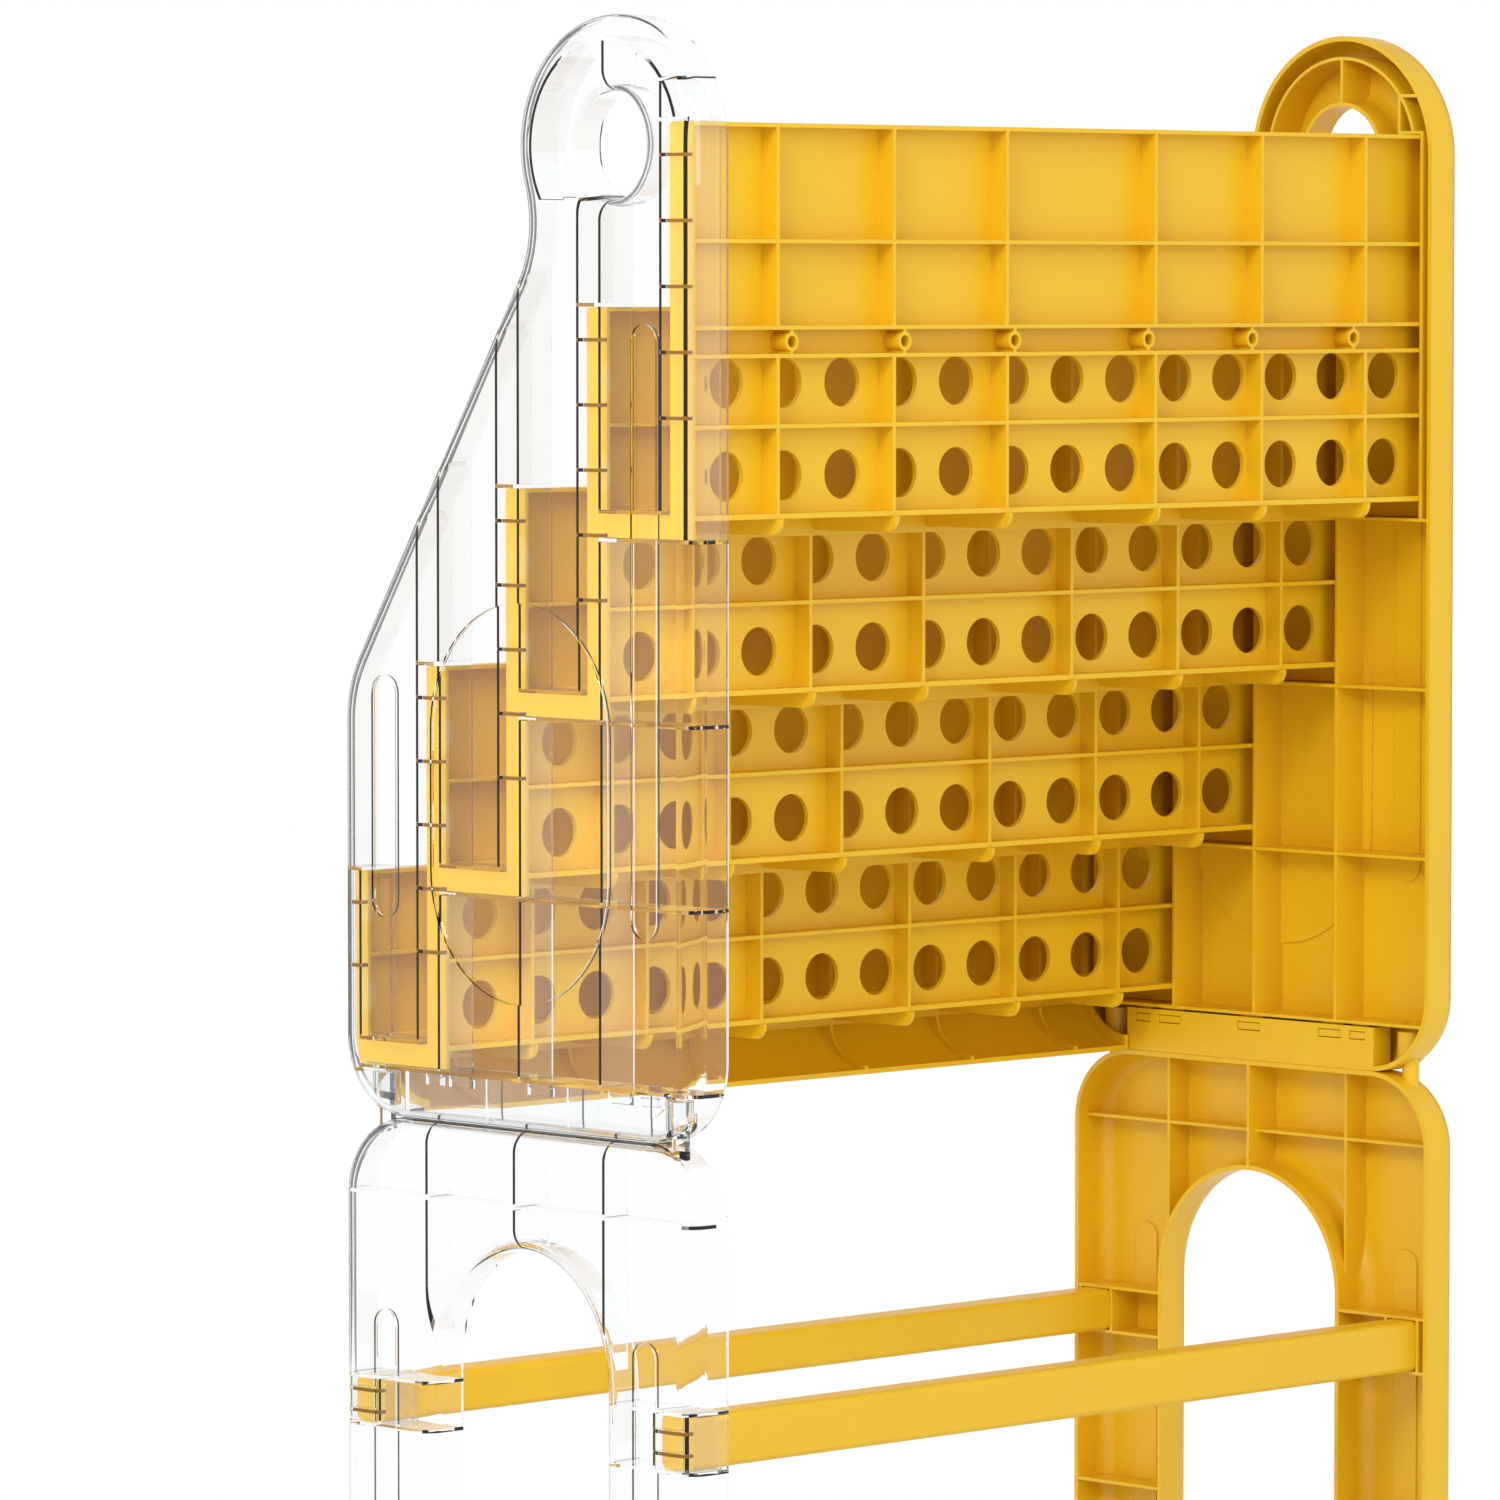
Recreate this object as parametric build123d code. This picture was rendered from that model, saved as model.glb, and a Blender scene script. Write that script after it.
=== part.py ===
from build123d import *
from math import cos, radians, sin
import os

# A stepped four-pocket rack moulded in plastic. Two end panels with ring-shaped tops hold
# four ribbed pocket boards and a front panel. They plug onto two arch-shaped leg panels,
# which two rails join. Millimetres, +Z up, X along the rack, the low front at -Y, the tall
# back at +Y, and the origin on the floor at the middle of the footprint.

# ---- driving dimensions ------------------------------------------------------------
overall_length = 632.0
leg_height = 386.0
end_panel_height = 614.0

# end and leg shells
shell_depth = 28.0
shell_wall = 3.0
edge_radius = 12.0
corner_radius = 45.0
web_thickness = 2.0
low_web_height = 17.5

# ring top and slanted front of an end panel
ring_radius = 71.0
ring_hole_radius = 29.5
ring_lip = 2.5
ring_web_radius = 58.8
neck_angle = 219.0
neck_fillet = 60.0
shoulder_height = 243.0
shoulder_fillet = 70.0
ring_shelf_drop = 29.0
ring_shelf_rise = 36.0

# embossed panels and flutes
emboss_depth = 1.2
stadium_bottom = 70.0
stadium_top = 292.0
stadium_shift = 5.3
stadium_flute_gap = 23.5
flute_width = 20.0
leg_flute_width = 18.0
flute_inset = 37.7
panel_front_flute = (113.0, 249.0)
panel_back_flute = (112.0, 446.0)
leg_flute = (40.0, 278.0)

# pocket boards
board_skin = 3.0
rib_depth = 12.0
rib_thickness = 2.4
tier_rise = 100.0
tier_run = 65.5
back_gap = 6.4
top_board_drop = 59.0
floor_drop = 212.4
floor_thickness = 13.0
tab_height = 9.0
tab_overhang = 3.0
tab_radius = 8.0
edge_round = 2.4
blank_rib_drop = 64.2
hole_rows_drop = (141.3, 192.0)
middle_rib_drop = 164.9
hole_pitch = 45.0
holes_per_row = 13
hole_radius = 13.65
rib_beside_hole = 2.3
ribs_after_hole = (1, 3, 5)

# six tubes on the back of each board, six pins on the front of each floor
tube_radius = 5.2
tube_bore_radius = 3.2
first_tube = 54.9
tube_spacing = 87.75
pin_clearance = 0.15
pin_length = 9.0

# front panel with its curled lip
front_panel_drop = 117.3
tongue_recess = 6.0
lip_end_gap = 0.5
lip_flange = 9.0
gusset_foot = 5.0

# fits
slot_gap = 0.3
stop_height = 6.0
stop_spacing = 35.5

# leg panel
arch_half_width = 70.7
arch_drop = 66.5
leg_rib_drop = 43.0
leg_rib_offset = 72.0
leg_low_ribs = (118.0, 30.0)

# leg tenon, snap windows and pegs
tenon_end_inset = 43.2
tenon_inset = 0.5
tenon_width = 15.5
tenon_height = 26.0
tenon_wall = 2.4
tenon_divider = 33.0
window_height = 5.0
window_rise = 18.0
window_insets = (13.0, 35.0)
window_widths = (12.4, 18.0, 18.5)
latch_gap = 0.4
latch_thickness = 2.0
peg_radius = 5.0
peg_inset = 24.2
peg_depth = 12.5
peg_height = 24.0
peg_socket_wall = 2.6

# rails
rail_centre_height = 224.5
front_rail_size = (23.0, 25.0)
back_rail_size = (22.0, 30.0)
front_rail_inset = 3.0
back_rail_inset = 6.0
rail_wall = 2.6
rail_round = 4.0
rail_ribs = 5
rail_stop_offset = 6.0

# ---- places worked out from the sizes above ------------------------------------------
outer_x = overall_length / 2
inner_x = outer_x - shell_depth
skin_x = outer_x - shell_wall
low_web_x = skin_x - low_web_height
board_end_x = skin_x - stop_height
rack_depth = board_skin + 4 * tier_run + rib_depth + back_gap + shell_wall
back_y = rack_depth / 2
front_y = -rack_depth / 2
rack_height = leg_height + end_panel_height
ring_y = back_y - ring_radius
ring_z = rack_height - ring_radius
board_length = 2 * board_end_x
board_thickness = board_skin + rib_depth
board_height = floor_drop + floor_thickness
band_gap_top = floor_drop - tier_rise
band_gap_bottom = band_gap_top + floor_thickness
tube_drop = (band_gap_top + band_gap_bottom) / 2
rib_places = [hole_pitch * n + hole_radius + rib_beside_hole for n in ribs_after_hole]
rib_places = [-x for x in reversed(rib_places)] + rib_places
tube_places = [side * (first_tube + tube_spacing * n) for side in (-1, 1) for n in range(3)]
front_panel_y = front_y + board_skin
top_board_y = front_panel_y + 4 * tier_run
top_board_z = rack_height - top_board_drop
front_panel_z = top_board_z - 3 * tier_rise - front_panel_drop
lip_centre_y = front_y + corner_radius
lip_centre_z = leg_height + corner_radius
tenon_x = inner_x + tenon_inset
tenon_half_length = back_y - tenon_end_inset
side_windows = [(tenon_half_length - window_insets[n], window_widths[n]) for n in (0, 1)]
windows = [(-y, width) for y, width in side_windows] + side_windows + [(0.0, window_widths[2])]
peg_x = inner_x + peg_depth
peg_offset = back_y - peg_inset
flute_offset = back_y - flute_inset
stadium_half_width = flute_offset - flute_width / 2 - stadium_flute_gap


def block(x0, x1, y0, y1, z0, z1):
    """A box between two corners."""
    centre = Pos((x0 + x1) / 2, (y0 + y1) / 2, (z0 + z1) / 2)
    return centre * Box(x1 - x0, y1 - y0, z1 - z0)


def area(y0, y1, z0, z1):
    """A rectangle of a side view, between two corners."""
    return Pos((y0 + y1) / 2, (z0 + z1) / 2) * Rectangle(y1 - y0, z1 - z0)


def plate(outline, x0, x1):
    """A side-view outline given thickness from x0 to x1."""
    return extrude(Plane.YZ.offset(x0) * outline, amount=x1 - x0)


def board_back(tier):
    """Y of the back of a pocket board's skin, tier 1 lowest and 4 highest."""
    return top_board_y - (4 - tier) * tier_run


def board_top(tier):
    """Z of a pocket board's top edge."""
    return top_board_z - (4 - tier) * tier_rise


def floor_front(tier):
    """Y of the front edge of a pocket floor, against the ribs of the board before it."""
    if tier == 1:
        return front_panel_y + rib_depth
    return board_back(tier - 1) + rib_depth


# ---- pocket boards ------------------------------------------------------------------
def hole_field():
    """The two rows of round holes, as a front view measured down from the top edge."""
    first = -hole_pitch * (holes_per_row - 1) / 2
    spots = [(first + n * hole_pitch, -drop) for drop in hole_rows_drop for n in range(holes_per_row)]
    return Sketch() + [Pos(x, z) * Circle(hole_radius) for x, z in spots]


def bar(x0, x1, z0, z1):
    """A rectangle of a front view, between two corners."""
    return Pos((x0 + x1) / 2, (z0 + z1) / 2) * Rectangle(x1 - x0, z1 - z0)


def level_rib(drop, half_length):
    """A level rib of a front view, centred at a drop below the top edge."""
    return bar(-half_length, half_length, -drop - rib_thickness / 2, -drop + rib_thickness / 2)


def rib_grid(height, drops, band):
    """Rim, upright ribs and level ribs in front view, the uprights left out of the tube band."""
    half = board_length / 2
    rim = bar(-half, half, -height, 0)
    rim -= bar(-half + rib_thickness, half - rib_thickness, -height, -rib_thickness)
    uprights = Sketch() + [
        bar(x - rib_thickness / 2, x + rib_thickness / 2, -height, 0) for x in rib_places
    ]
    uprights -= bar(-half + rib_thickness, half - rib_thickness, -band[1], -band[0])
    return rim + uprights + [level_rib(drop, half) for drop in drops]


def front_view(sketch, y0, y1):
    """A front-view outline given thickness from y0 back to y1."""
    return extrude(Plane.XZ.offset(-y0) * sketch, amount=-(y1 - y0))


def band_tubes(band):
    """Six tubes in the band, each with a thin web above and below."""
    middle = -(band[0] + band[1]) / 2
    tubes = Sketch() + [Pos(x, middle) * Circle(tube_radius) for x in tube_places]
    half_web = web_thickness / 2
    tubes += [bar(x - half_web, x + half_web, -band[1], -band[0]) for x in tube_places]
    return tubes - [Pos(x, middle) * Circle(tube_bore_radius) for x in tube_places]


def wall_part(height, drops, band, holes):
    """A ribbed upright board: skin in front, rib grid and tubes behind, top edge at z = 0."""
    skin = bar(-board_length / 2, board_length / 2, -height, 0)
    if holes:
        skin -= hole_field()
    body = front_view(skin, -board_skin, 0)
    grid = rib_grid(height, drops, band) + band_tubes(band)
    grid -= [Pos(x, -(band[0] + band[1]) / 2) * Circle(tube_bore_radius) for x in tube_places]
    body += front_view(grid, 0, rib_depth)
    top_edges = body.edges().filter_by(Axis.X).group_by(Axis.Z)[-1]
    return fillet(top_edges.sort_by(Axis.Y)[0], edge_round)


def tab(x, front):
    """One stiffening rib under a floor, rounded at its lower back corner."""
    under = -floor_drop - board_skin
    shape = area(front, rib_depth + tab_overhang, under - tab_height, under)
    corner = shape.vertices().group_by(Axis.Y)[0].sort_by(Axis.X)[-1]
    shape = fillet(corner, tab_radius)
    return plate(shape, x - rib_thickness / 2, x + rib_thickness / 2)


def floor_part(front):
    """A pocket floor from its front edge back to the rib tips, ribbed and open underneath."""
    half = board_length / 2
    top, bottom = -floor_drop, -floor_drop - floor_thickness
    body = block(-half, half, front, rib_depth, top - board_skin, top)
    body += block(-half, half, front, front + board_skin, bottom, top)
    for side in (-1, 1):
        near, far = sorted((side * half, side * (half - rib_thickness)))
        body += block(near, far, front, rib_depth, bottom, top)
    body += [tab(x, front) for x in rib_places]
    pins = [Pos(x, front + board_skin / 2, (top + bottom) / 2) for x in tube_places]
    pin = Cylinder(tube_bore_radius - pin_clearance, pin_length + board_skin / 2,
                   align=(Align.CENTER, Align.CENTER, Align.MIN))
    return body + [place * Rot(90, 0, 0) * pin for place in pins]


def pocket_board(tier):
    """An L-shaped moulding: the wall behind a pocket and that pocket's floor."""
    band = (band_gap_top, band_gap_bottom)
    drops = (blank_rib_drop, middle_rib_drop,
             band[0] - rib_thickness / 2, band[1] + rib_thickness / 2)
    front = floor_front(tier) - board_back(tier)
    body = wall_part(floor_drop + board_skin, drops, band, holes=True) + floor_part(front)
    return Pos(0, board_back(tier), board_top(tier)) * body


# ---- front panel --------------------------------------------------------------------
def lip_ring(outer, inner):
    """The quarter ring of the curled lip between two radii, in side view."""
    ring = Circle(outer) - Circle(inner)
    quarter = ring & area(-outer, 0, -outer, 0)
    return Pos(lip_centre_y, lip_centre_z) * quarter


def lip_envelope(radius):
    """Side view of all that lies behind a surface drawn in to a radius about the lip."""
    envelope = Pos(lip_centre_y, lip_centre_z) * Circle(radius)
    return envelope + area(lip_centre_y - radius, lip_centre_y, lip_centre_z, front_panel_z)


def gusset(drop_y):
    """A gusset that sweeps from the rib tips under the floor to the rear of the lip."""
    top = board_top(1) - floor_drop - floor_thickness
    toe = (lip_centre_y, lip_centre_z - corner_radius + board_skin / 2)
    knee = (lip_centre_y, lip_centre_z - corner_radius + gusset_foot)
    with BuildSketch() as shape:
        with BuildLine():
            free_edge = Spline(
                (drop_y, top), knee,
                tangents=[(0.05, -1), (1, -0.15)],
            )
            Line(free_edge @ 1, toe)
            Polyline(toe, (front_panel_y - board_skin / 2, toe[1]),
                     (front_panel_y - board_skin / 2, top), (drop_y, top))
        make_face()
    envelope = Pos(lip_centre_y, lip_centre_z) * Circle(corner_radius - board_skin / 2)
    envelope += area(front_panel_y - board_skin / 2, lip_centre_y + 60, lip_centre_z, top + 1)
    return shape.sketch & envelope


def front_panel():
    """The low front wall of the first pocket, flush with the end panels' front edges and
    curled under along their corners. Its ends are set back as tongues inside the panels."""
    floor_top = front_panel_z - (board_top(1) - floor_drop)
    band = (floor_top, floor_top + floor_thickness)
    wall_drop = band[1] + rib_thickness
    wall_foot = front_panel_z - wall_drop
    drops = (floor_top / 2, band[0] - rib_thickness / 2, band[1] + rib_thickness / 2)
    body = Pos(0, front_panel_y, front_panel_z) * wall_part(wall_drop, drops, band, holes=False)
    body &= plate(lip_envelope(corner_radius), -outer_x, outer_x)
    half = inner_x - lip_end_gap
    tongue_y = front_y + tongue_recess
    behind = lip_envelope(corner_radius - tongue_recess)
    set_back = area(front_y - 1, lip_centre_y, wall_foot - 1, front_panel_z + 1) - behind
    tongue_skin = area(tongue_y, tongue_y + board_skin, wall_foot, front_panel_z) & behind
    flange = lip_ring(corner_radius, corner_radius - lip_flange)
    flange += area(front_y, front_y + lip_flange, lip_centre_z, front_panel_z - edge_round)
    for side in (-1, 1):
        near, far = sorted((side * half, side * outer_x))
        body -= plate(set_back, near, far)
        near, far = sorted((side * (half - board_skin), side * board_end_x))
        body += plate(tongue_skin, near, far)
    body += plate(lip_ring(corner_radius, corner_radius - board_skin), -half, half)
    for side in (-1, 1):
        near, far = sorted((side * (half - board_skin), side * half))
        body += plate(flange, near, far)
    rib = gusset(front_panel_y + rib_depth)
    for x in rib_places:
        body += plate(rib, x - rib_thickness / 2, x + rib_thickness / 2)
    return body


# ---- end panels ---------------------------------------------------------------------
def end_outline():
    """Side view of an end panel: ring top, waist, slanted front and rounded corners."""
    neck = (ring_y + ring_radius * cos(radians(neck_angle)),
            ring_z + ring_radius * sin(radians(neck_angle)))
    body = Polygon((back_y, leg_height), (back_y, ring_z), (ring_y, ring_z), neck,
                   (front_y, leg_height + shoulder_height), (front_y, leg_height), align=None)
    body += Pos(ring_y, ring_z) * Circle(ring_radius)
    body = fillet(nearest_vertex(body, neck), neck_fillet)
    body = fillet(nearest_vertex(body, (front_y, leg_height + shoulder_height)), shoulder_fillet)
    for y in (front_y, back_y):
        body = fillet(nearest_vertex(body, (y, leg_height)), corner_radius)
    return body


def nearest_vertex(sketch, point):
    """The corner of a sketch that lies nearest a point."""
    target = Vector(*point)
    return min(sketch.vertices(), key=lambda v: (Vector(v.X, v.Y) - target).length)


def rounded(outline, inset):
    """A solid that fills an outline from the mouth to near the outer face, with its outer
    edges rounded. The outline is already drawn in by the inset, and feet stay sharp."""
    body = plate(outline, inner_x, outer_x - inset)
    rim = body.faces().sort_by(Axis.X)[-1].edges()
    return fillet(rim.filter_by(lambda e: e.center().Z > 2 * shell_wall), edge_radius - inset)


def ring_hole(grow):
    """The round hole in the ring top, grown by a wall."""
    return Pos(ring_y, ring_z) * Circle(ring_hole_radius + grow)


def stadium(y, z0, z1, width):
    """An upright slot outline with round ends."""
    return Pos(y, (z0 + z1) / 2) * Rot(0, 0, 90) * SlotOverall(z1 - z0, width)


def emboss(body, outline):
    """Sink an outline into the outer face and raise it as much on the inside."""
    body += plate(outline, skin_x - emboss_depth, skin_x)
    return body - plate(outline, outer_x - emboss_depth, outer_x)


def stair_section():
    """Side view of everything that the slots of an end panel hold."""
    section = area(front_y + tongue_recess, front_panel_y + rib_depth,
                   board_top(1) - board_height - rib_thickness, front_panel_z)
    for tier in range(1, 5):
        back = board_back(tier) + rib_depth
        section += area(board_back(tier) - board_skin, back,
                        board_top(tier) - board_height, board_top(tier))
        section += area(floor_front(tier), back, board_top(tier) - board_height,
                        board_top(tier) - floor_drop)
    return section


def upright_webs():
    """Webs that carry the sides of each slot on up: to the slanted rim over the two lower
    boards, to the ring hole over the third, and to a shelf beside the ring over the fourth."""
    webs = Sketch()
    for tier in range(1, 5):
        front = board_back(tier) - board_skin - slot_gap
        back = board_back(tier) + rib_depth + slot_gap
        low = board_top(tier)
        if tier < 3:
            webs += area(front - web_thickness, front, low, rack_height)
            webs += area(back, back + web_thickness, low, rack_height)
        elif tier == 3:
            shelf = ring_z - ring_shelf_drop
            webs += area(front - web_thickness, front, low, shelf)
            webs += area(front - web_thickness, ring_y, shelf - web_thickness, shelf)
            webs += area(back, back + web_thickness, low, ring_z - ring_hole_radius)
        else:
            shelf = ring_z + ring_shelf_rise
            webs += area(front - web_thickness, front, low, shelf)
            webs += area(front - web_thickness, back_y, shelf - web_thickness, shelf)
    return webs


def level_webs():
    """Webs that run from under each floor back to the rim."""
    webs = Sketch()
    for tier in range(1, 5):
        top = board_top(tier) - board_height - slot_gap
        webs += area(board_back(tier), back_y, top - web_thickness, top)
    lowest = board_top(1) - board_height - slot_gap
    return webs + area(front_y, board_back(1), lowest - web_thickness, lowest)


def stiffeners():
    """The rear slot webs of two boards, carried on down through the open field below."""
    lowest = board_top(1) - board_height - slot_gap
    webs = Sketch()
    for tier in (2, 3):
        y = board_back(tier) + rib_depth + slot_gap
        webs += area(y, y + web_thickness, lowest, board_top(tier) - board_height)
    return webs


def ring_webs():
    """The round web inside the ring, open below, and the spoke at its top."""
    ring = Circle(ring_web_radius) - Circle(ring_web_radius - web_thickness)
    ring -= area(-ring_radius, ring_radius, -ring_radius, -ring_hole_radius)
    spoke = area(-web_thickness / 2, web_thickness / 2, ring_hole_radius, ring_web_radius)
    return Pos(ring_y, ring_z) * (ring + spoke)


def slot_stops():
    """Short level ridges across each slot, which the board ends rest against."""
    stops = Sketch()
    columns = [(front_y + tongue_recess, front_panel_y, front_panel_z, board_top(1) - floor_drop)]
    columns += [(board_back(t) - board_skin, board_back(t), board_top(t), board_top(t) - floor_drop)
                for t in range(1, 5)]
    reach = slot_gap + web_thickness / 2
    for front, back, top, bottom in columns:
        count = int((top - bottom) / stop_spacing)
        for n in range(count):
            z = top - (n + 0.5) * stop_spacing
            stops += area(front - reach, back + rib_depth + reach,
                          z - web_thickness / 2, z + web_thickness / 2)
    return stops


def peg_sockets(outline):
    """Round sockets above the lower corners, for the pegs of the leg."""
    top = leg_height + peg_height + slot_gap
    sockets = Part()
    for y in (-peg_offset, peg_offset):
        place = Pos(peg_x, y, leg_height)
        outside = Cylinder(peg_radius + slot_gap + peg_socket_wall, top - leg_height,
                           align=(Align.CENTER, Align.CENTER, Align.MIN))
        sockets += place * outside
    return sockets & plate(outline, inner_x, outer_x - shell_wall / 2)


def peg_bores():
    """The bores of the peg sockets, cut through the rim."""
    bore = Cylinder(peg_radius + slot_gap, 2 * corner_radius)
    return [Pos(peg_x, y, leg_height) * bore for y in (-peg_offset, peg_offset)]


def latches():
    """Tongues that hang into the tenon, each with a barb in one of its windows."""
    top = board_top(1) - board_height - slot_gap - web_thickness / 2
    plate_x = tenon_x + tenon_wall + latch_gap
    window_z = leg_height + window_rise
    tongues = Part()
    for y, width in windows:
        half = width / 2 - latch_gap
        tongues += block(plate_x, plate_x + latch_thickness, y - half, y + half,
                         window_z + latch_gap, top)
        tongues += block(tenon_x + latch_gap, plate_x, y - half, y + half,
                         window_z + latch_gap, window_z + window_height - latch_gap)
    return tongues


def end_panel():
    """The right-hand end panel, a one-piece shell with its slots inside."""
    outline = end_outline()
    section = stair_section()
    room = offset(section, slot_gap, kind=Kind.INTERSECTION)
    contour = offset(section, slot_gap + web_thickness, kind=Kind.INTERSECTION)
    webs = contour + upright_webs() + level_webs() + stiffeners() + ring_webs() - room
    webs -= ring_hole(ring_lip / 2)
    body = rounded(outline - ring_hole(0), 0)
    body -= rounded(offset(outline, -shell_wall) - ring_hole(ring_lip), shell_wall)
    core = rounded(offset(outline, -shell_wall / 2) - ring_hole(ring_lip / 2), shell_wall / 2)
    body += plate(webs, inner_x, skin_x) & core
    body += plate(slot_stops(), board_end_x, skin_x) & core
    body = emboss(body, stadium(stadium_shift, leg_height + stadium_bottom,
                                leg_height + stadium_top, 2 * stadium_half_width))
    for y, span in ((-flute_offset, panel_front_flute), (flute_offset, panel_back_flute)):
        body = emboss(body, stadium(y, leg_height + span[0], leg_height + span[1], flute_width))
    body += peg_sockets(outline)
    body -= peg_bores()
    body -= block(inner_x - 1, tenon_x + tenon_width + slot_gap,
                  -tenon_half_length - slot_gap, tenon_half_length + slot_gap,
                  leg_height - 1, leg_height + shell_wall + 1)
    return body + latches()


# ---- leg panels ---------------------------------------------------------------------
def arch(grow=0.0):
    """The arch opening, round at the top and open to the floor."""
    radius = arch_half_width + grow
    spring = leg_height - arch_drop - arch_half_width
    return Pos(0, spring) * Circle(radius) + area(-radius, radius, -leg_height, spring)


def leg_outline():
    """Side view of a leg panel without its arch."""
    body = area(front_y, back_y, 0, leg_height)
    for y in (front_y, back_y):
        body = fillet(nearest_vertex(body, (y, leg_height)), corner_radius)
    return body


def leg_body(outline, inset):
    """The rounded solid of a leg, with its arch, drawn in by an inset."""
    return rounded(offset(outline, -inset) - arch(inset) if inset else outline - arch(), inset)


def level_leg_web():
    """The level web above the arch, and the outer two of the three upright webs there."""
    spring = leg_height - arch_drop - arch_half_width
    middle = leg_height - leg_rib_drop
    webs = area(front_y, back_y, middle - web_thickness / 2, middle + web_thickness / 2)
    for y in (-leg_rib_offset, leg_rib_offset):
        webs += area(y - web_thickness / 2, y + web_thickness / 2, spring, leg_height)
    return webs


def rail_places():
    """Middle Y, thickness and height of each rail."""
    front = front_y + shell_wall + front_rail_inset + front_rail_size[0] / 2
    back = back_y - shell_wall - back_rail_inset - back_rail_size[0] / 2
    return ((front, front_rail_size), (back, back_rail_size))


def pillar_webs():
    """Shelves above and below each rail end, side webs, and level webs lower down."""
    shelves = Sketch()
    for y, (thickness, height) in rail_places():
        side = -1 if y < 0 else 1
        near, far = sorted((side * arch_half_width, side * rack_depth / 2))
        top = rail_centre_height + height / 2
        bottom = rail_centre_height - height / 2
        shelves += area(near, far, top + slot_gap, top + slot_gap + web_thickness)
        shelves += area(near, far, bottom - web_thickness, bottom)
        face = y - side * (thickness / 2 + slot_gap)
        inner, outer = sorted((face, face - side * web_thickness))
        shelves += area(inner, outer, bottom - web_thickness, top + web_thickness)
        outer_face = y + side * (thickness / 2 + slot_gap)
        inner, outer = sorted((outer_face, outer_face + side * web_thickness))
        shelves += area(inner, outer, bottom - web_thickness, top + web_thickness)
        for z in leg_low_ribs:
            shelves += area(near, far, z - web_thickness / 2, z + web_thickness / 2)
    return shelves


def tenon():
    """The hollow tenon on top of the leg, open above, with snap windows on its inner side."""
    z0, z1 = leg_height - shell_wall / 2, leg_height + tenon_height
    x0, x1 = tenon_x, tenon_x + tenon_width
    body = block(x0, x1, -tenon_half_length, tenon_half_length, z0, z1)
    hollow = tenon_half_length - tenon_wall
    body -= block(x0 + tenon_wall, x1 - tenon_wall, -hollow, hollow, leg_height, z1)
    for y in (-tenon_divider, tenon_divider):
        body += block(x0, x1, y - tenon_wall / 2, y + tenon_wall / 2, z0, z1)
    for y, width in windows:
        body -= block(x0 - 1, x0 + tenon_wall, y - width / 2, y + width / 2,
                      leg_height + window_rise, leg_height + window_rise + window_height)
    return body


def pegs(outline):
    """Two round pegs that stand on the rounded corners of the leg."""
    peg = Cylinder(peg_radius, peg_height + corner_radius,
                   align=(Align.CENTER, Align.CENTER, Align.MAX))
    pair = [Pos(peg_x, y, leg_height + peg_height) * peg for y in (-peg_offset, peg_offset)]
    inner = plate(offset(outline, -shell_wall / 2), inner_x, outer_x)
    return (Part() + pair) - inner


def leg_panel():
    """The right-hand leg panel, a one-piece arch-shaped shell."""
    outline = leg_outline()
    body = leg_body(outline, 0) - leg_body(outline, shell_wall)
    core = leg_body(outline, shell_wall / 2)
    middle_web = area(-web_thickness / 2, web_thickness / 2, leg_height / 2, leg_height)
    body += plate(level_leg_web(), low_web_x, skin_x) & core
    body += plate(middle_web + pillar_webs(), inner_x, skin_x) & core
    for y in (-flute_offset, flute_offset):
        body = emboss(body, stadium(y, leg_flute[0], leg_flute[1], leg_flute_width))
    for y, (thickness, height) in rail_places():
        y0, y1 = y - thickness / 2, y + thickness / 2
        body -= block(inner_x, skin_x, y0, y1, rail_centre_height - height / 2,
                      rail_centre_height + height / 2)
        for z in (rail_centre_height - rail_stop_offset, rail_centre_height + rail_stop_offset):
            body += block(board_end_x, skin_x, y0 - slot_gap, y1 + slot_gap,
                          z - web_thickness / 2, z + web_thickness / 2)
    return body + tenon() + pegs(outline)


# ---- rails --------------------------------------------------------------------------
def rail(y, size):
    """A rail moulded as an upturned channel with end walls and cross ribs inside."""
    thickness, height = size
    half = board_end_x
    z0, z1 = rail_centre_height - height / 2, rail_centre_height + height / 2
    body = block(-half, half, y - thickness / 2, y + thickness / 2, z0, z1)
    body = fillet(body.edges().filter_by(Axis.X), rail_round)
    hollow = block(-half + rail_wall, half - rail_wall, y - thickness / 2 + rail_wall,
                   y + thickness / 2 - rail_wall, z0 - 1, z1 - rail_wall)
    for n in range(rail_ribs):
        x = (n + 1) * 2 * half / (rail_ribs + 1) - half
        hollow -= block(x - rail_wall / 2, x + rail_wall / 2, y - thickness, y + thickness, z0, z1)
    return body - hollow


# ---- the pieces ---------------------------------------------------------------------
right_end_panel = end_panel()
right_leg_panel = leg_panel()
front_rail_place, back_rail_place = rail_places()
pieces = {
    "right_end_panel": right_end_panel,
    "left_end_panel": mirror(right_end_panel, about=Plane.YZ),
    "right_leg_panel": right_leg_panel,
    "left_leg_panel": mirror(right_leg_panel, about=Plane.YZ),
    "front_panel": front_panel(),
    "front_rail": rail(*front_rail_place),
    "back_rail": rail(*back_rail_place),
}
for tier in range(1, 5):
    pieces[f"pocket_board_{tier}"] = pocket_board(tier)

os.makedirs("parts", exist_ok=True)
for name, piece in pieces.items():
    export_step(piece, f"parts/{name}.step")
    print(name, len(piece.solids()), "solid", round(piece.volume / 1000, 1), "cm3", piece.is_valid)
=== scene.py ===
import math

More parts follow.
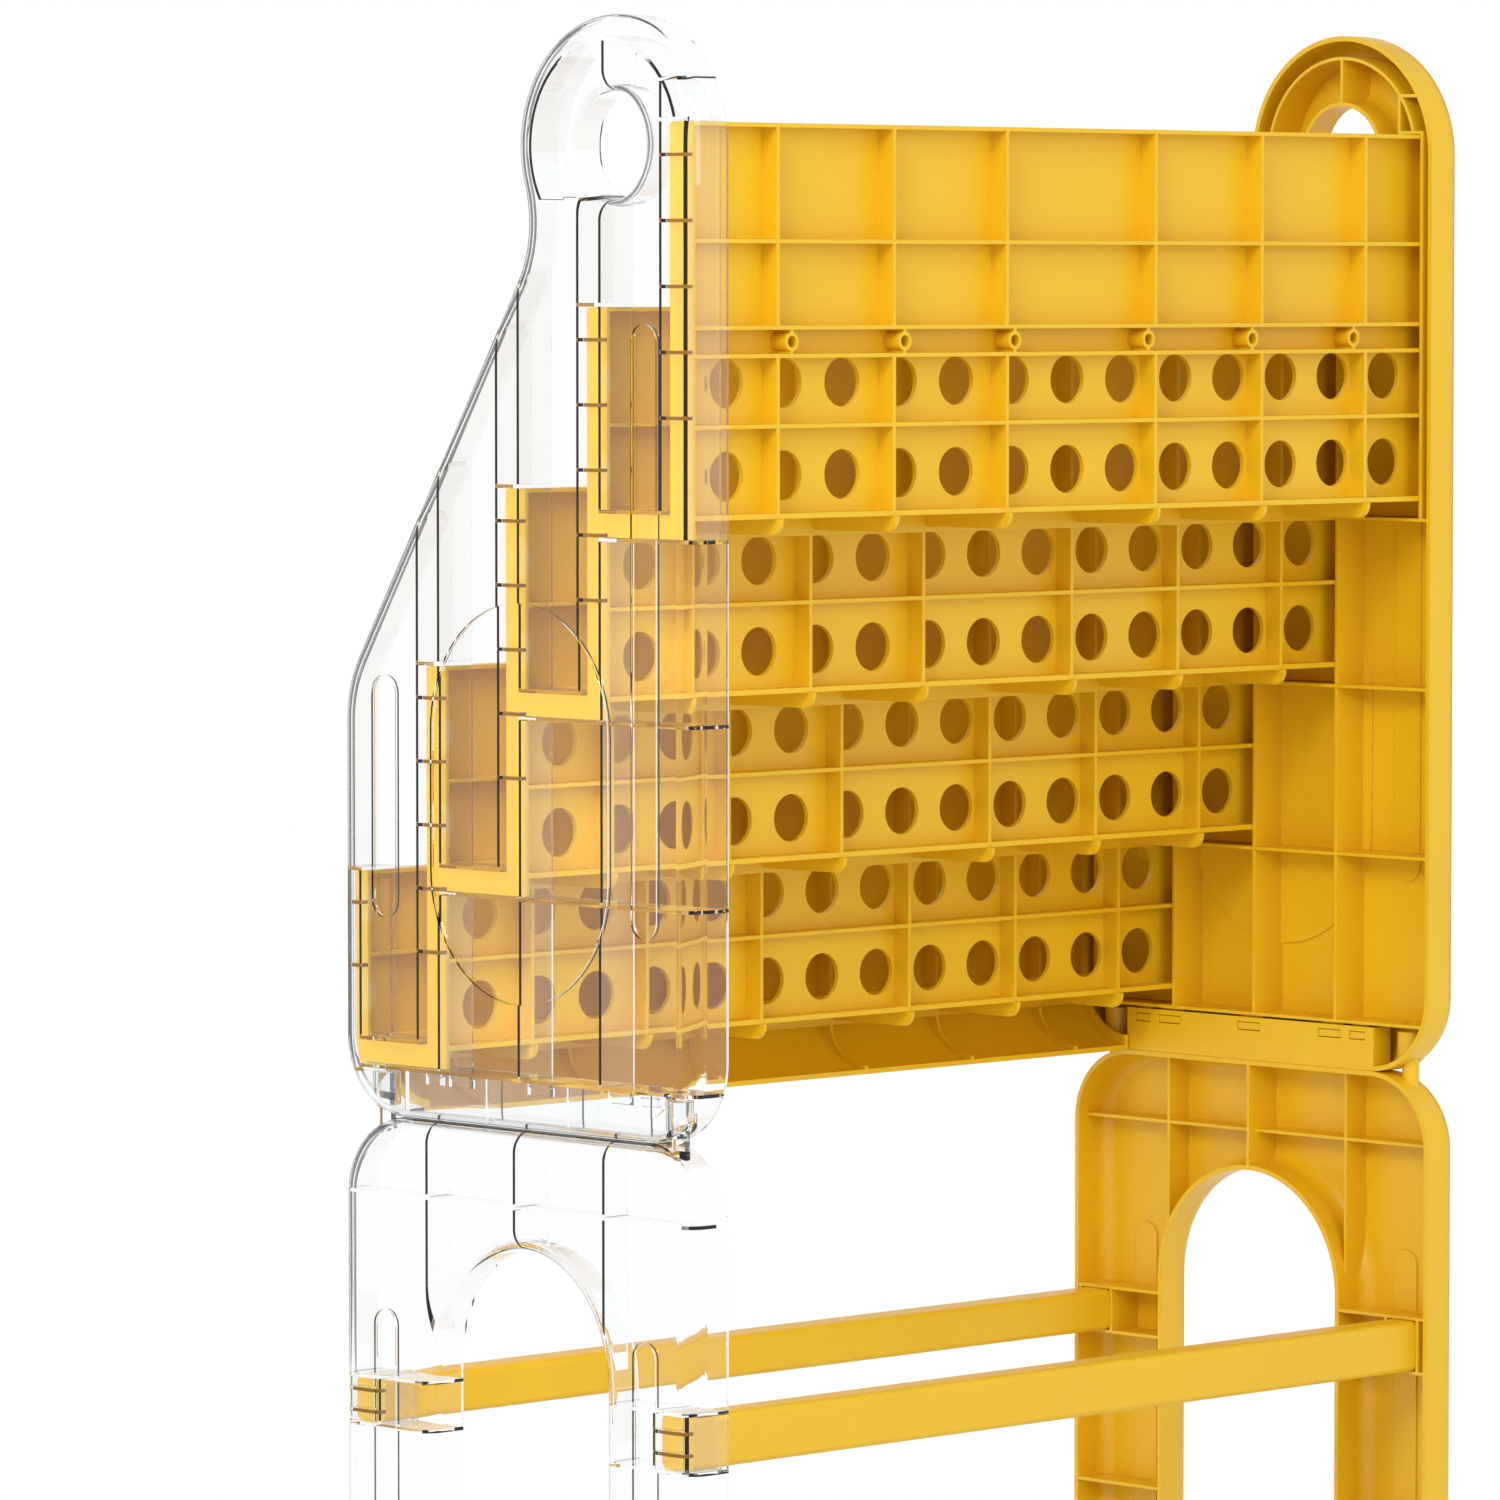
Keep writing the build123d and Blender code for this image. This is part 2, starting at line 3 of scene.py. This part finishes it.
import bpy
import numpy as np
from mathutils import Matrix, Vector

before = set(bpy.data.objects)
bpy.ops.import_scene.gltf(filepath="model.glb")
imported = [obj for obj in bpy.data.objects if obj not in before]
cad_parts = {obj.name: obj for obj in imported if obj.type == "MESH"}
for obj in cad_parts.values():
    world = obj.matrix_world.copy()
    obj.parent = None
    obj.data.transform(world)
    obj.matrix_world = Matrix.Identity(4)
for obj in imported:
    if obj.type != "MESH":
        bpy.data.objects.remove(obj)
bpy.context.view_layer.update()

# ---- Yellow mouldings: left leg panel ---------------------------------------------------
# The left leg panel is injection moulded in glossy yellow polypropylene, in one piece
# with its ribs, rail sockets, snap tenon and two pegs. It stands on its bottom edges.
plastic_yellow = (0.805, 0.495, 0.008)
plastic_deep = (0.760, 0.400, 0.003)
panel_gloss = 0.34
flow_scale = 9.0
texture_scale = 900.0
grain_strength = 0.34
grain_height = 0.0004
edge_softness = 0.0006
plastic_bend = 1.49


def noise_field(tree, coords, scale, detail, rough=0.5):
    """Three-dimensional noise on the piece's own coordinates, scale in cells per metre."""
    noise = tree.nodes.new("ShaderNodeTexNoise")
    noise.inputs["Scale"].default_value = scale
    noise.inputs["Detail"].default_value = detail
    noise.inputs["Roughness"].default_value = rough
    tree.links.new(coords.outputs["Object"], noise.inputs["Vector"])
    return noise.outputs["Fac"]


def remap(tree, value, low, high, to_low, to_high):
    """The value stretched from one span to another and held inside it."""
    span = tree.nodes.new("ShaderNodeMapRange")
    spans = (("From Min", low), ("From Max", high), ("To Min", to_low), ("To Max", to_high))
    for key, number in spans:
        span.inputs[key].default_value = number
    tree.links.new(value, span.inputs["Value"])
    return span.outputs["Result"]


def moulded_plastic(name, light, deep, gloss):
    """Moulded plastic: broad flow marks shift the colour between two tones, a fine grain
    from the tool's surface sets bump and gloss, and edges are softened by a small radius."""
    mat = bpy.data.materials.new(name)
    mat.use_nodes = True
    tree = mat.node_tree
    bsdf = tree.nodes["Principled BSDF"]
    coords = tree.nodes.new("ShaderNodeTexCoord")
    flow = noise_field(tree, coords, flow_scale, 3.0)
    grain = noise_field(tree, coords, texture_scale, 2.0, 0.6)
    tone = tree.nodes.new("ShaderNodeMix")
    tone.data_type = "RGBA"
    tone.inputs[6].default_value = (*deep, 1)
    tone.inputs[7].default_value = (*light, 1)
    tree.links.new(remap(tree, flow, 0.30, 0.62, 0.72, 1.0), tone.inputs["Factor"])
    tree.links.new(tone.outputs[2], bsdf.inputs["Base Color"])
    sheen = tree.nodes.new("ShaderNodeMath")
    sheen.operation = "ADD"
    tree.links.new(remap(tree, grain, 0.35, 0.65, -0.03, 0.05), sheen.inputs[0])
    tree.links.new(remap(tree, flow, 0.3, 0.7, gloss - 0.03, gloss + 0.04), sheen.inputs[1])
    tree.links.new(sheen.outputs[0], bsdf.inputs["Roughness"])
    edge = tree.nodes.new("ShaderNodeBevel")
    edge.samples = 4
    edge.inputs["Radius"].default_value = edge_softness
    bump = tree.nodes.new("ShaderNodeBump")
    bump.inputs["Strength"].default_value = grain_strength
    bump.inputs["Distance"].default_value = grain_height
    tree.links.new(grain, bump.inputs["Height"])
    tree.links.new(edge.outputs["Normal"], bump.inputs["Normal"])
    tree.links.new(bump.outputs["Normal"], bsdf.inputs["Normal"])
    bsdf.inputs["IOR"].default_value = plastic_bend
    return mat


def wear(node, material):
    """Give a CAD node its finish in every material slot."""
    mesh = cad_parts[node].data
    if not mesh.materials:
        mesh.materials.append(material)
    for n in range(len(mesh.materials)):
        mesh.materials[n] = material


yellow = moulded_plastic("yellow_moulding", plastic_yellow, plastic_deep, panel_gloss)
wear("left_leg_panel", yellow)

# ---- Clear mouldings: right leg panel ---------------------------------------------------
# The right leg panel is the mirror image, moulded in clear plastic with the same ribs,
# tenon and pegs. Its walls are 3 mm thick, and its edges and ribs catch the light.
clear_tint = (0.985, 0.992, 0.995)
clear_bend = 1.45
clear_shine = 0.08
wave_scale = 26.0
wave_strength = 0.05
wave_height = 0.0006
shadow_tint = (0.90, 0.88, 0.84)


def clear_plastic(name):
    """Clear moulding: a bending shader with a faint wavy bump from the tool's surface, and
    a see-through shadow, so that what it covers is still lit."""
    mat = bpy.data.materials.new(name)
    mat.use_nodes = True
    tree = mat.node_tree
    bsdf = tree.nodes["Principled BSDF"]
    bsdf.inputs["Base Color"].default_value = (*clear_tint, 1)
    bsdf.inputs["Transmission Weight"].default_value = 1.0
    bsdf.inputs["IOR"].default_value = clear_bend
    bsdf.inputs["Specular IOR Level"].default_value = clear_shine
    coords = tree.nodes.new("ShaderNodeTexCoord")
    waves = noise_field(tree, coords, wave_scale, 1.0)
    tree.links.new(remap(tree, waves, 0.3, 0.7, 0.0, 0.012), bsdf.inputs["Roughness"])
    bump = tree.nodes.new("ShaderNodeBump")
    bump.inputs["Strength"].default_value = wave_strength
    bump.inputs["Distance"].default_value = wave_height
    tree.links.new(waves, bump.inputs["Height"])
    tree.links.new(bump.outputs["Normal"], bsdf.inputs["Normal"])
    path = tree.nodes.new("ShaderNodeLightPath")
    shade = tree.nodes.new("ShaderNodeBsdfTransparent")
    shade.inputs["Color"].default_value = (*shadow_tint, 1)
    mix = tree.nodes.new("ShaderNodeMixShader")
    tree.links.new(path.outputs["Is Shadow Ray"], mix.inputs["Fac"])
    tree.links.new(bsdf.outputs["BSDF"], mix.inputs[1])
    tree.links.new(shade.outputs["BSDF"], mix.inputs[2])
    tree.links.new(mix.outputs["Shader"], tree.nodes["Material Output"].inputs["Surface"])
    return mat


clear = clear_plastic("clear_moulding")
wear("right_leg_panel", clear)

# ---- Rails ------------------------------------------------------------------------------
# Two yellow channel rails with rounded edges join the legs, front and back. Their ends
# slide between shelf ribs inside the leg pillars.
rail_gloss = 0.42
rail_yellow = moulded_plastic("yellow_rail", plastic_yellow, plastic_deep, rail_gloss)
for node in ("front_rail", "back_rail"):
    wear(node, rail_yellow)

# ---- End panels -------------------------------------------------------------------------
# The end panels drop over the legs' tenons and snap into their windows. Inside, ribs form
# the slots for the boards. The right one is clear and the left one yellow.
wear("right_end_panel", clear)
wear("left_end_panel", yellow)

# ---- Pocket boards and front panel ------------------------------------------------------
# Each board is one L-shaped moulding: a perforated wall and a pocket floor. The boards
# and the front panel slide into the end panels' slots, and each floor pins into the next.
board_gloss = 0.38
board_yellow = moulded_plastic("yellow_board", plastic_yellow, plastic_deep, board_gloss)
for tier in range(1, 5):
    wear(f"pocket_board_{tier}", board_yellow)
wear("front_panel", board_yellow)

# ---- Floor, light and camera ------------------------------------------------------------
# A plain white studio floor that fades into an even white surround, two large soft boxes,
# dark cards that draw the edges of the clear pieces, and a long lens.
floor_half = 14.0
floor_white = (0.9, 0.9, 0.9)
floor_matt = 0.75
fade_start, fade_end = 0.2, 0.8
surround = (1.0, 1.0, 1.0)
surround_light = 0.66


def floor_grid(half, count):
    """A flat square grid at floor height: x and y are even steps from -half to half."""
    steps = np.linspace(-half, half, count)
    x, y = np.meshgrid(steps, steps, indexing="ij")
    points = np.stack([x, y, np.zeros_like(x)], axis=-1).reshape(-1, 3)
    index = np.arange(count * count).reshape(count, count)
    faces = np.stack([index[:-1, :-1], index[1:, :-1], index[1:, 1:], index[:-1, 1:]], axis=-1)
    mesh = bpy.data.meshes.new("studio_floor")
    mesh.from_pydata(points.tolist(), [], faces.reshape(-1, 4).tolist())
    return bpy.data.objects.new("studio_floor", mesh)


floor = floor_grid(floor_half, 3)
bpy.context.scene.collection.objects.link(floor)
floor_paint = bpy.data.materials.new("floor_paint")
floor_paint.use_nodes = True
tree = floor_paint.node_tree
bsdf = tree.nodes["Principled BSDF"]
bsdf.inputs["Base Color"].default_value = (*floor_white, 1)
bsdf.inputs["Roughness"].default_value = floor_matt
coords = tree.nodes.new("ShaderNodeTexCoord")
reach = tree.nodes.new("ShaderNodeVectorMath")
reach.operation = "LENGTH"
tree.links.new(coords.outputs["Object"], reach.inputs[0])
glow = tree.nodes.new("ShaderNodeEmission")
glow.inputs["Color"].default_value = (*surround, 1)
glow.inputs["Strength"].default_value = 1.0
fade = tree.nodes.new("ShaderNodeMixShader")
whiten = remap(tree, reach.outputs["Value"], fade_start, fade_end, 0.0, 1.0)
tree.links.new(whiten, fade.inputs["Fac"])
tree.links.new(bsdf.outputs["BSDF"], fade.inputs[1])
tree.links.new(glow.outputs["Emission"], fade.inputs[2])
tree.links.new(fade.outputs["Shader"], tree.nodes["Material Output"].inputs["Surface"])
floor.data.materials.append(floor_paint)

world = bpy.data.worlds.new("studio")
bpy.context.scene.world = world
world.use_nodes = True
background = world.node_tree.nodes["Background"]
background.inputs["Color"].default_value = (*surround, 1)
bounce = world.node_tree.nodes.new("ShaderNodeLightPath")
sky_level = remap(world.node_tree, bounce.outputs["Is Diffuse Ray"], 0.0, 1.0, 1.0, surround_light)
world.node_tree.links.new(sky_level, background.inputs["Strength"])

card_turn = 2.368
card_width = 1.3
card_height = 2.2
card_grey = (0.10, 0.10, 0.11)
card_matt = 0.9
card_paint = bpy.data.materials.new("card_paint")
card_paint.use_nodes = True
bsdf = card_paint.node_tree.nodes["Principled BSDF"]
bsdf.inputs["Base Color"].default_value = (*card_grey, 1)
bsdf.inputs["Roughness"].default_value = card_matt


def dark_card(name, place):
    """An upright dark rectangle about a foot point, that only reflections and refractions
    see: its corners are half a width to each side, at the floor and at its height."""
    across = Vector((math.cos(card_turn), math.sin(card_turn), 0)) * card_width / 2
    foot = Vector(place)
    corners = [foot - across, foot + across]
    corners += [point + Vector((0, 0, card_height)) for point in reversed(corners)]
    mesh = bpy.data.meshes.new(name)
    mesh.from_pydata([tuple(point) for point in corners], [], [(0, 1, 2, 3)])
    mesh.materials.append(card_paint)
    card = bpy.data.objects.new(name, mesh)
    bpy.context.scene.collection.objects.link(card)
    card.visible_camera = False
    card.visible_diffuse = False
    card.visible_shadow = False


dark_card("card_right", (-2.05, -0.24, 0.0))
dark_card("card_left", (-0.19, -2.05, 0.0))

lit_point = (0, 0, 0.6)


def soft_box(name, place, width, watts):
    """A square light at a place, turned to face the middle of the rack."""
    light = bpy.data.lights.new(name, "AREA")
    light.shape = "RECTANGLE"
    light.size = width
    light.size_y = width
    light.energy = watts
    lamp = bpy.data.objects.new(name, light)
    lamp.location = place
    lamp.rotation_euler = (Vector(lit_point) - Vector(place)).to_track_quat("-Z", "Y").to_euler()
    bpy.context.scene.collection.objects.link(lamp)


soft_box("key_light", (3.3, 1.5, 2.4), 1.3, 60)
soft_box("fill_light", (0.6, 3.4, 1.8), 1.8, 24)

lens = bpy.data.cameras.new("camera")
lens.lens = 200.2
lens.sensor_width = 36.0
camera = bpy.data.objects.new("camera", lens)
turn, tilt = 0.7969, 0.0563
flat_run = math.cos(tilt)
aim = Vector((-math.cos(turn) * flat_run, -math.sin(turn) * flat_run, -math.sin(tilt)))
camera.location = (3.4300, 3.3749, 0.8558)
camera.rotation_euler = aim.to_track_quat("-Z", "Y").to_euler()
bpy.context.scene.collection.objects.link(camera)
bpy.context.scene.camera = camera
bpy.context.scene.view_settings.view_transform = "Standard"
